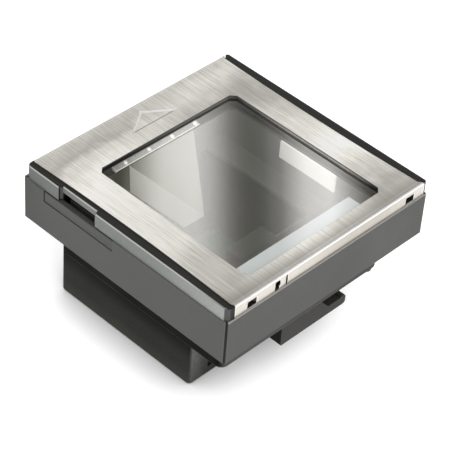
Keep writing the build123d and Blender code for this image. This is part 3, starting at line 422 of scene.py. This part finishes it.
def rim():
    """The cover's plastic frame: near black, with a painted grey sheen on the outward left and right faces.
    """
    sh = Shader("rim_plastic")
    place = sh.coords.outputs["Object"]
    slow = sh.noise(place, 25.0, 3.0, 0.6)
    fine = sh.noise(place, 1100.0, 2.0, 0.5)
    towards, _, up = sh.normal_parts()
    east, north, _ = sh.place_parts()
    # painted sheen on the outward faces only, paler at the front and darker at the back
    side = sh.span(sh.product(towards, sh.math("SIGN", east)), 0.93, 0.985, 0.0, 1.0)
    painted_side_sheen = sh.mix(sh.blotches(slow), (0.138, 0.148, 0.136), (0.168, 0.178, 0.164))
    painted_side_sheen = sh.mix(sh.span(north, -cover_half, -0.02, 0.45, 0.0), painted_side_sheen, (0.40, 0.415, 0.385))
    painted_side_sheen = sh.mix(sh.span(north, 0.03, cover_half, 0.0, 0.55), painted_side_sheen, (0.06, 0.065, 0.062))
    # the rest is near black, with painted light on the upright faces of the corner posts that turn to the
    # left
    dark = sh.mix(sh.blotches(slow), (0.006, 0.006, 0.005), (0.011, 0.0105, 0.009))
    upright = sh.span(sh.math("ABSOLUTE", up), 0.1, 0.3, 1.0, 0.0)
    post = sh.product(upright, sh.span(towards, -0.45, -0.15, 1.0, 0.0))
    dark = sh.mix(post, dark, (0.052, 0.052, 0.050))
    colour = sh.mix(side, dark, painted_side_sheen)
    colour = sh.mix(sh.span(fine, 0.4, 0.65, 0.0, 0.12), colour, (0.03, 0.03, 0.028))
    # a painted highlight on the left bevel, weaker near the front
    bevel = sh.product(
        sh.between(up, 0.3, 0.5, 0.8, 0.95),
        sh.span(towards, -0.69, -0.5, 1.0, 0.0),
        sh.span(north, -0.073, -0.045, 0.3, 0.75),
    )
    colour = sh.mix(bevel, colour, (0.42, 0.42, 0.39))
    # painted highlights along the corners, stronger on the outward faces
    corners = sh.product(sh.edge_mask(0.0005), sh.span(side, 0.0, 1.0, 0.03, 0.3))
    colour = sh.mix(corners, colour, (0.36, 0.37, 0.36))
    # painted shade in narrow crevices
    colour = sh.mix(sh.crevice(0.0012, 0.6), (0.002, 0.002, 0.002), colour)
    roughness = sh.span(slow, 0.3, 0.7, 0.55, 0.68)
    normal = sh.bump(fine, 0.5, 0.00002, sh.soft_edge(0.0003))
    values = {"Base Color": colour, "Roughness": roughness, "Normal": normal, "Specular IOR Level": 0.22}
    return sh.surface(sh.principled(values))


def window_glass():
    """Hard coated flat glass: clear, with a strong reflection on its top and faint wipe marks."""
    sh = Shader("window_glass")
    wipes = sh.noise(sh.scaled((1.0, 0.2, 1.0), (0, 0, 0.5)), 60.0, 4.0, 0.6)
    gloss = sh.add(
        "ShaderNodeBsdfGlossy",
        {"Color": (0.98, 0.975, 0.965, 1.0), "Roughness": sh.span(wipes, 0.4, 0.7, 0.015, 0.05)},
    )
    clear = sh.add("ShaderNodeBsdfTransparent", {"Color": (0.95, 0.95, 0.94, 1.0)})
    facing = sh.add("ShaderNodeLayerWeight", {"Blend": 0.35}).outputs["Facing"]
    amount = sh.span(facing, 0.0, 1.0, 0.22, 0.62)
    _, _, up = sh.normal_parts()
    amount = sh.product(amount, sh.span(up, 0.5, 0.9, 0.0, 1.0))
    item = sh.add("ShaderNodeMixShader", {0: amount, 1: clear.outputs[0], 2: gloss.outputs[0]})
    return sh.surface(item.outputs[0])


def glowing(name, base, strength):
    """A light-spreading plastic that gives off a little light of its own."""
    rough = 0.4
    sh = Shader(name)
    slow = sh.noise(sh.coords.outputs["Object"], 60.0, 3.0, 0.5)
    colour = sh.mix(sh.blotches(slow), shade(base, 0.93), shade(base, 1.03))
    values = {
        "Base Color": colour,
        "Roughness": sh.span(slow, 0.3, 0.7, rough - 0.05, rough + 0.08),
        "Emission Color": (1.0, 0.99, 0.95, 1.0),
        "Emission Strength": strength,
        "Normal": sh.soft_edge(0.0002),
    }
    return sh.surface(sh.principled(values))


def circuit():
    """Green solder mask with faint tracks and tinned pads."""
    sh = Shader("circuit_board")
    place = sh.coords.outputs["Object"]
    tracks = sh.add(
        "ShaderNodeTexVoronoi",
        {"Vector": place, "Scale": 420.0},
        feature="DISTANCE_TO_EDGE",
        distance="CHEBYCHEV",
    )
    line = sh.span(tracks.outputs["Distance"], 0.02, 0.06, 1.0, 0.0)
    pads = sh.add("ShaderNodeTexVoronoi", {"Vector": place, "Scale": 330.0}, feature="F1")
    pad = sh.span(pads.outputs["Distance"], 0.14, 0.18, 1.0, 0.0)
    colour = sh.mix(line, (0.012, 0.085, 0.035), (0.03, 0.16, 0.07))
    colour = sh.mix(sh.product(pad, 0.25), colour, (0.40, 0.39, 0.36))
    roughness = sh.span(sh.noise(place, 40.0), 0.3, 0.7, 0.25, 0.4)
    normal = sh.bump(line, 0.3, 0.00002)
    return sh.surface(sh.principled({"Base Color": colour, "Roughness": roughness, "Normal": normal}))


def foil():
    """Silver grey foil, blank, with a faint painted glow."""
    sh = Shader("label_foil")
    slow = sh.noise(sh.scaled((1.0, 0.3, 1.0)), 40.0, 3.0, 0.5)
    colour = sh.mix(sh.blotches(slow), (0.56, 0.595, 0.62), (0.62, 0.65, 0.67))
    values = {
        "Base Color": colour,
        "Roughness": sh.span(slow, 0.3, 0.7, 0.3, 0.42),
        # a faint painted glow
        "Emission Color": (0.86, 0.93, 1.0, 1.0),
        "Emission Strength": 0.06,
    }
    return sh.surface(sh.principled(values))


def reflector():
    """The reflector: an upper facet with olive painted shade, darkest on the left, and a whiter skirt with
    painted light, brightest on the left; both half-gloss.
    """
    sh = Shader("bright_reflector")
    slow = sh.noise(sh.coords.outputs["Object"], 40.0, 3.0, 0.5)
    towards, _, _ = sh.normal_parts()
    east, _, _ = sh.place_parts()
    skirt = sh.span(towards, -0.6, -0.3, 1.0, 0.0)
    # painted shade on the upper facet, dark and olive on the left
    rightward = sh.span(east, -0.024, 0.016, 0.0, 1.0, smooth=True)
    upper = sh.mix(rightward, (0.12, 0.122, 0.085), (0.36, 0.35, 0.325))
    # painted light on the skirt, brightest on the left
    rightward = sh.span(east, -0.030, -0.012, 0.0, 1.0, smooth=True)
    lower = sh.mix(rightward, (1.0, 1.0, 0.97), (0.68, 0.69, 0.66))
    colour = sh.mix(skirt, upper, lower)
    colour = sh.mix(sh.span(slow, 0.3, 0.7, 0.0, 0.15), colour, (0.30, 0.30, 0.28))
    roughness = sh.span(slow, 0.3, 0.7, 0.32, 0.42)
    values = {"Base Color": colour, "Roughness": roughness, "Specular IOR Level": 0.3}
    return sh.surface(sh.principled(values))


def light_strip():
    """The light bar: smoky clear plastic with four bright spots, a painted highlight along one edge and a
    painted shadow at its foot.
    """
    sh = Shader("light_bar")
    slow = sh.noise(sh.coords.outputs["Object"], 90.0, 3.0, 0.5)
    east, north, _ = sh.place_parts()
    colour = sh.mix(sh.span(slow, 0.35, 0.65, 0.0, 1.0), (0.40, 0.40, 0.39), (0.56, 0.57, 0.55))
    # the distance from the nearest of the evenly spaced lights
    along = sh.math("PINGPONG", sh.math("ADD", east, light_pitch - first_light), light_pitch / 2)
    beside = sh.math("SUBTRACT", north, light_row)
    away = sh.math("SQRT", sh.math("ADD", sh.product(along, along), sh.product(beside, beside)))
    colour = sh.mix(sh.span(away, 0.0002, 0.0016, 1.0, 0.0), colour, (1.7, 1.7, 1.65))
    # a painted highlight along the edge
    colour = sh.mix(sh.span(north, 0.0461, 0.0464, 0.8, 0.0), colour, (1.3, 1.3, 1.25))
    # a painted shadow at the foot
    colour = sh.mix(sh.span(north, 0.0457, 0.0459, 1.0, 0.0), colour, (0.01, 0.01, 0.008))
    values = {
        "Base Color": colour,
        "Roughness": sh.span(slow, 0.3, 0.7, 0.2, 0.35),
        "Emission Color": colour,
        "Emission Strength": 0.45,
    }
    return sh.surface(sh.principled(values))


def gasket():
    """The window's gasket: black rubber, with painted light, paler towards the far corner and along the
    right.
    """
    sh = Shader("gasket_rubber")
    fine = sh.noise(sh.coords.outputs["Object"], 900.0, 3.0, 0.6)
    east, north, _ = sh.place_parts()
    # painted light, paler towards the far corner
    corner = sh.span(sh.math("ADD", east, north), 0.0, 0.075, 0.0, 1.0, smooth=True)
    colour = sh.mix(corner, (0.006, 0.006, 0.005), (0.17, 0.17, 0.16))
    # painted light along the right edge, palest near its middle
    right = sh.ramp(
        sh.span(north, -0.066, 0.047, 0.0, 1.0),
        [
            (0.0, (0.008, 0.008, 0.007)),
            (0.07, (0.030, 0.028, 0.025)),
            (0.25, (0.440, 0.430, 0.400)),
            (0.60, (0.400, 0.390, 0.360)),
            (0.82, (0.130, 0.130, 0.120)),
            (1.0, (0.040, 0.040, 0.038)),
        ],
    )
    colour = sh.mix(sh.span(east, 0.046, 0.050, 0.0, 1.0), colour, right)
    colour = sh.mix(sh.span(fine, 0.35, 0.65, 0.0, 0.3), colour, (0.02, 0.02, 0.018))
    roughness = sh.span(fine, 0.3, 0.7, 0.7, 0.85)
    values = {"Base Color": colour, "Roughness": roughness, "Specular IOR Level": 0.15}
    return sh.surface(sh.principled(values))


def lower_block():
    """The lower housing: painted shade, dark under the body and paler towards its foot, and painted light
    at its front corner.
    """
    sh = Shader("block_plastic")
    place = sh.coords.outputs["Object"]
    slow = sh.noise(place, 30.0, 4.0, 0.6)
    fine = sh.noise(place, 1000.0, 2.0, 0.5)
    east, _, height = sh.place_parts()
    towards, facing, _ = sh.normal_parts()
    # painted shade on the faces towards -X: dark under the body, paler towards the foot
    side = sh.ramp(
        sh.span(height, 0.0, block_height, 0.0, 1.0),
        [
            (0.0, (0.090, 0.090, 0.080)),
            (0.06, (0.064, 0.065, 0.058)),
            (0.16, (0.037, 0.038, 0.034)),
            (0.29, (0.029, 0.030, 0.026)),
            (0.41, (0.0130, 0.0132, 0.0118)),
            (0.53, (0.0050, 0.0051, 0.0046)),
            (0.65, (0.0010, 0.0010, 0.0009)),
            (0.80, (0.0004, 0.0004, 0.0004)),
        ],
    )
    # painted light on the front faces, palest at the left corner
    rightward = sh.span(east, block_left + 0.0005, -0.040, 0.0, 1.0, smooth=True)
    front = sh.mix(rightward, (0.125, 0.125, 0.12), (0.058, 0.057, 0.053))
    colour = sh.mix(sh.span(facing, -0.9, -0.4, 1.0, 0.0), (0.048, 0.047, 0.044), front)
    colour = sh.mix(sh.span(towards, -0.9, -0.4, 1.0, 0.0), colour, side)
    tint = sh.mix(sh.blotches(slow), (0.84, 0.84, 0.84), (1.14, 1.14, 1.12))
    colour = sh.mix(1.0, colour, tint, "MULTIPLY")
    colour = sh.mix(sh.span(fine, 0.35, 0.65, 0.0, 0.3), colour, (0.006, 0.006, 0.0055))
    # painted shade where other faces are near
    colour = sh.mix(sh.crevice(0.03, 0.4), (0.003, 0.003, 0.003), colour)
    normal = sh.bump(fine, 0.5, 0.00003, sh.soft_edge(0.0005))
    roughness = sh.span(slow, 0.3, 0.7, 0.5, 0.62)
    values = {"Base Color": colour, "Roughness": roughness, "Normal": normal, "Specular IOR Level": 0.03}
    return sh.surface(sh.principled(values))


def silvered():
    """The fold mirror's front coating with a few dust specks."""
    sh = Shader("mirror_face")
    specks = sh.noise(sh.coords.outputs["Object"], 500.0, 2.0, 0.7)
    roughness = sh.span(specks, 0.6, 0.75, 0.02, 0.3)
    colour = sh.mix(sh.span(specks, 0.6, 0.8, 0.0, 0.3), (0.86, 0.87, 0.87), (0.5, 0.5, 0.5))
    return sh.surface(sh.principled({"Base Color": colour, "Metallic": 1.0, "Roughness": roughness}))


# the body gets painted light and shade on its ledge, grooves and back end
plastic = moulded("body_plastic", (0.046, 0.0463, 0.0435), 0.52, shine=0.38, body=True)
# painted shade: the tray's faces towards -X near black, and shade in its crevices
tray_plastic = moulded(
    "tray_plastic", (0.060, 0.058, 0.055), 0.55, left=0.0, crevice_shade=0.5, edge_wear_and_highlight=0.1, shine=0.05
)
# painted shade in the latch's narrow gaps
latch_plastic = moulded("latch_plastic", (0.043, 0.043, 0.041), 0.52, crevice_shade=0.3, reach=0.0009, shine=0.36)
# painted shade: the hook's faces towards -X darkened, and shade in its crevices
hook_plastic = moulded(
    "hook_plastic", (0.040, 0.039, 0.036), 0.55, left=0.1, crevice_shade=0.5, edge_wear_and_highlight=0.2, shine=0.08
)
black = moulded("black_plastic", (0.024, 0.024, 0.021), 0.6, edge_wear_and_highlight=0.12, dust=0.03, shine=0.3)
foam = moulded("foam", (0.016, 0.016, 0.016), 0.9, grain=0.0008, depth=0.0002, edge_wear_and_highlight=0.0)
port = moulded("port_plastic", (0.018, 0.018, 0.018), 0.35)
button = moulded("button_plastic", (0.13, 0.13, 0.125), 0.42)
nylon = moulded("connector_nylon", (0.62, 0.60, 0.54), 0.45, edge_wear_and_highlight=0.1)
chip = moulded("chip_epoxy", (0.022, 0.022, 0.024), 0.4, edge_wear_and_highlight=0.1)
paper = moulded("label_film", (0.66, 0.66, 0.64), 0.4, edge_wear_and_highlight=0.05, dust=0.3)
film = moulded("cable_film", (0.72, 0.74, 0.76), 0.3, edge_wear_and_highlight=0.1)
sensor_face = moulded("sensor_face", (0.04, 0.045, 0.06), 0.12, edge_wear_and_highlight=0.1)
zinc = brushed("zinc_sheet", (0.55, 0.55, 0.53), 0.32)
screw_steel = brushed("screw_steel", (0.46, 0.46, 0.45), 0.3, turn=(0, 0, 0.7))
strip_steel = brushed("spring_strip", (0.48, 0.47, 0.45), 0.28)
anodised = brushed("anodised_black", (0.035, 0.035, 0.035), 0.4)
bright = reflector()
board = circuit()
clear_glass = window_glass()

looks = {
    "top_plate": steel_top(),
    "cover_bezel": rim(),
    "scan_window": clear_glass,
    "front_lens": clear_glass,
    "window_gasket": gasket(),
    "window_label": foil(),
    "main_housing": plastic,
    "cover_latch": latch_plastic,
    "base_tray": tray_plastic,
    "lower_housing": lower_block(),
    "cable_hook": hook_plastic,
    "rating_label": paper,
    "optics_chassis": moulded("well_plastic", (0.10, 0.10, 0.095), 0.6, edge_wear_and_highlight=0.12, dust=0.03, shine=0.2),
    "mirror_frame": black,
    "lens_holder": black,
    "wake_sensor_cover": black,
    "well_seal": foam,
    "speaker_gasket": foam,
    "light_reflector": bright,
    "light_bar": light_strip(),
    "leds": glowing("led_resin", (0.9, 0.9, 0.8), 3.0),
    "light_panel": glowing("light_panel", (0.82, 0.83, 0.81), 0.38),
    "fold_mirror": silvered(),
    "led_board": board,
    "panel_led_board": board,
    "imager_board": board,
    "main_board": board,
    "imager_bracket": zinc,
    "shield_can": zinc,
    "image_sensor": sensor_face,
    "lens_barrel": anodised,
    "speaker": anodised,
    "processor_chips": chip,
    "host_port": port,
    "service_port": port,
    "button_switch": port,
    "push_button": button,
    "flat_cable": film,
    "cable_connectors": nylon,
    "latch_spring": strip_steel,
    "chassis_screws": screw_steel,
    "tray_screws": screw_steel,
    "housing_screws": screw_steel,
    "board_screws": screw_steel,
    "hook_screws": screw_steel,
}
for name, item in nodes.items():
    item.data.materials.clear()
    item.data.materials.append(looks[name])

# ------------------------------------------------------------------ latch spring
# The bowed leaf spring, which flattens against its rib when the latch is pressed, is built here at its rest
# bow from the part's box.
spring_low, spring_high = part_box("latch_spring")
spring_steps = 28
strip_thickness = 0.0003
strip_end = 0.0006


def bow(sag, reach):
    """Points of a circular arc from the rib out by sag and back, between -reach and +reach along Y."""
    radius = (sag * sag + reach * reach) / (2 * sag)
    sweep = math.asin(reach / radius)
    middle = (spring_low[1] + spring_high[1]) / 2
    points = []
    for step in range(spring_steps + 1):
        turn = sweep * (2 * step / spring_steps - 1)
        away = spring_high[0] - radius * math.cos(turn) + radius - sag
        points.append((away, middle + radius * math.sin(turn)))
    return points


spring_sag = spring_high[0] - spring_low[0]
spring_reach = (spring_high[1] - spring_low[1]) / 2
outer = bow(spring_sag, spring_reach)
inner = bow(spring_sag - strip_thickness, spring_reach - strip_end)
outline = outer + inner[::-1]
ring = len(outline)
spring_points = [(x, y, z) for z in (spring_low[2], spring_high[2]) for x, y in outline]
spring_faces = [(i, (i + 1) % ring, ring + (i + 1) % ring, ring + i) for i in range(ring)]
for i in range(spring_steps):
    spring_faces.append((i + 1, i, ring - 1 - i, ring - 2 - i))
    spring_faces.append((ring + i, ring + i + 1, 2 * ring - 2 - i, 2 * ring - 1 - i))
spring_mesh = bpy.data.meshes.new("bowed_spring")
spring_mesh.from_pydata(spring_points, [], spring_faces)
shell = bmesh.new()
shell.from_mesh(spring_mesh)
bmesh.ops.recalc_face_normals(shell, faces=shell.faces)
shell.to_mesh(spring_mesh)
shell.free()
spring_mesh.materials.append(strip_steel)
spring = link("bowed_spring", spring_mesh)
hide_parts("latch_spring")
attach(spring, "base")
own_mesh(spring)

# ------------------------------------------------------------------ floor and light
world_strength = 1.05
floor_half = 6
floor_level = -0.0002
floor_glow = 0.32
contact_reach = 0.028
key_place = Vector((-0.6, -0.9, 1.3))
key_target = Vector((0, 0, 0.05))
key_width = 1.0
key_power = 16.0
card_height = 1.2
card_half_width = 1.5
card_half_depth = 0.75
mirror_height = 0.095
mirrored_east = 0.5608
mirrored_north = 0.5042
mirrored_climb = 0.6567
card_shift = 0.0095
curtain_radius = 3.0
curtain_bottom = -0.1
curtain_height = 2.6

world = bpy.data.worlds.new("studio")
world.use_nodes = True
world.node_tree.nodes["Background"].inputs["Color"].default_value = (1.0, 1.0, 1.0, 1.0)
world.node_tree.nodes["Background"].inputs["Strength"].default_value = world_strength
bpy.context.scene.world = world
bpy.context.scene.view_settings.view_transform = "Standard"

square = [(-1, -1), (1, -1), (1, 1), (-1, 1)]
floor_mesh = bpy.data.meshes.new("floor")
floor_corners = [(x * floor_half, y * floor_half, floor_level) for x, y in square]
floor_mesh.from_pydata(floor_corners, [], [(0, 1, 2, 3)])
floor = link("floor", floor_mesh)
ground = Shader("floor")
grains = ground.noise(ground.coords.outputs["Object"], 30.0)
pale = ground.mix(grains, (0.85, 0.85, 0.85), (0.87, 0.87, 0.87))
# painted shadow on the floor near the object
pale = ground.mix(ground.crevice(contact_reach, 0.4), (0.0, 0.0, 0.0), pale)
values = {"Base Color": pale, "Roughness": 0.9, "Emission Color": pale, "Emission Strength": floor_glow}
ground.surface(ground.principled(values))
floor_mesh.materials.append(ground.material)

# one soft square lamp, which isn't itself seen in reflections
key_lamp = bpy.data.lights.new("key", "AREA")
key_lamp.shape = "SQUARE"
key_lamp.size = key_width
key_lamp.energy = key_power
key = link("key", key_lamp)
key.location = key_place
key.rotation_mode = "QUATERNION"
key.rotation_quaternion = (key_target - key_place).to_track_quat("-Z", "Y")
key.visible_glossy = False

# a card overhead with light and dark stripes, seen only in reflections: its middle is where the
# photo's line of sight, mirrored in the cover's top, reaches the card
reach = (card_height - mirror_height) / mirrored_climb
card_middle_y = mirrored_north * reach - card_shift
card_centre = Vector((mirrored_east * reach, card_middle_y, card_height))
across = Vector((0.7072, -0.7070, 0.0)) * card_half_width
ahead = Vector((0.7070, 0.7072, 0.0)) * card_half_depth
card_mesh = bpy.data.meshes.new("card")
card_corners = [tuple(card_centre + across * x + ahead * y) for x, y in square]
card_mesh.from_pydata(card_corners, [], [(0, 1, 2, 3)])
layer = card_mesh.uv_layers.new(name="UVMap")
for loop, (x, y) in zip(layer.data, square):
    loop.uv = ((x + 1) / 2, (y + 1) / 2)
card = link("card", card_mesh)
sh = Shader("card")
split = sh.add("ShaderNodeSeparateXYZ", {"Vector": sh.coords.outputs["UV"]})
stripes = [
    (-0.300, (1.30, 1.29, 1.27)),
    (-0.215, (0.55, 0.54, 0.51)),
    (-0.190, (0.06, 0.06, 0.05)),
    (-0.150, (0.08, 0.08, 0.06)),
    (-0.125, (0.45, 0.44, 0.40)),
    (-0.098, (0.98, 0.97, 0.94)),
    (-0.050, (1.10, 1.09, 1.07)),
    (-0.030, (0.86, 0.85, 0.83)),
    (-0.012, (0.52, 0.51, 0.49)),
    (0.005, (0.24, 0.235, 0.22)),
    (0.027, (0.15, 0.15, 0.135)),
    (0.045, (0.17, 0.17, 0.155)),
    (0.072, (0.36, 0.355, 0.34)),
    (0.105, (1.05, 1.04, 1.01)),
    (0.140, (1.30, 1.29, 1.26)),
    (0.165, (0.68, 0.67, 0.65)),
    (0.195, (0.12, 0.12, 0.10)),
    (0.215, (0.20, 0.20, 0.18)),
    (0.270, (1.30, 1.29, 1.27)),
]
stops = [(0.5 + metres / (2 * card_half_width), colour) for metres, colour in stripes]
stripe = sh.ramp(split.outputs["X"], stops, "LINEAR")
glow = sh.add("ShaderNodeEmission", {"Color": stripe, "Strength": 1.0})
sh.surface(glow.outputs[0])
card_mesh.materials.append(sh.material)
card.visible_camera = False
card.visible_diffuse = False
card.visible_shadow = False

# grey curtains round the other sides, so that the steel is not burnt out from there
turns = [math.radians(angle) for angle in range(-215, 31, 7)]
around = [(curtain_radius * math.cos(turn), curtain_radius * math.sin(turn)) for turn in turns]
rows = [(x, y, z) for z in (curtain_bottom, curtain_height) for x, y in around]
count = len(around)
strips = [(i, i + 1, count + i + 1, count + i) for i in range(count - 1)]
curtain_mesh = bpy.data.meshes.new("curtain")
curtain_mesh.from_pydata(rows, [], strips)
curtain = link("curtain", curtain_mesh)
sh = Shader("curtain")
_, _, level = sh.place_parts()
folds = sh.noise(sh.scaled((1.0, 1.0, 0.1)), 1.5, 2.0, 0.5)
tone = sh.mix(sh.span(level, 0.0, curtain_height, 0.0, 1.0), (0.34, 0.34, 0.335), (0.80, 0.80, 0.79))
tone = sh.mix(sh.span(folds, 0.3, 0.7, 0.0, 0.25), tone, (0.30, 0.30, 0.30))
glow = sh.add("ShaderNodeEmission", {"Color": tone, "Strength": 1.0})
sh.surface(glow.outputs[0])
curtain_mesh.materials.append(sh.material)
curtain.visible_camera = False
curtain.visible_diffuse = False
curtain.visible_transmission = False
curtain.visible_shadow = False

# ------------------------------------------------------------------ camera
# fitted to the photo's straight edges
camera_place = Vector((-0.60478035, -0.54496669, 0.76835761))
view_right = Vector((0.70403899, -0.70779947, 0.05787064))
view_up = Vector((0.43563806, 0.49480191, 0.75192456))
view_forward = Vector((0.56084632, 0.50417355, -0.65670423))
focal_pixels = 1996.475
photo_pixels = 450.0
sensor_width = 36.0

camera_data = bpy.data.cameras.new("camera")
camera_data.sensor_width = sensor_width
camera_data.lens = focal_pixels / photo_pixels * sensor_width
camera_data.clip_start = 0.05
camera_data.clip_end = 30.0
camera = link("camera", camera_data)
basis = Matrix((view_right, view_up, -view_forward)).transposed().to_4x4()
basis.translation = camera_place
camera.matrix_world = basis
bpy.context.scene.camera = camera
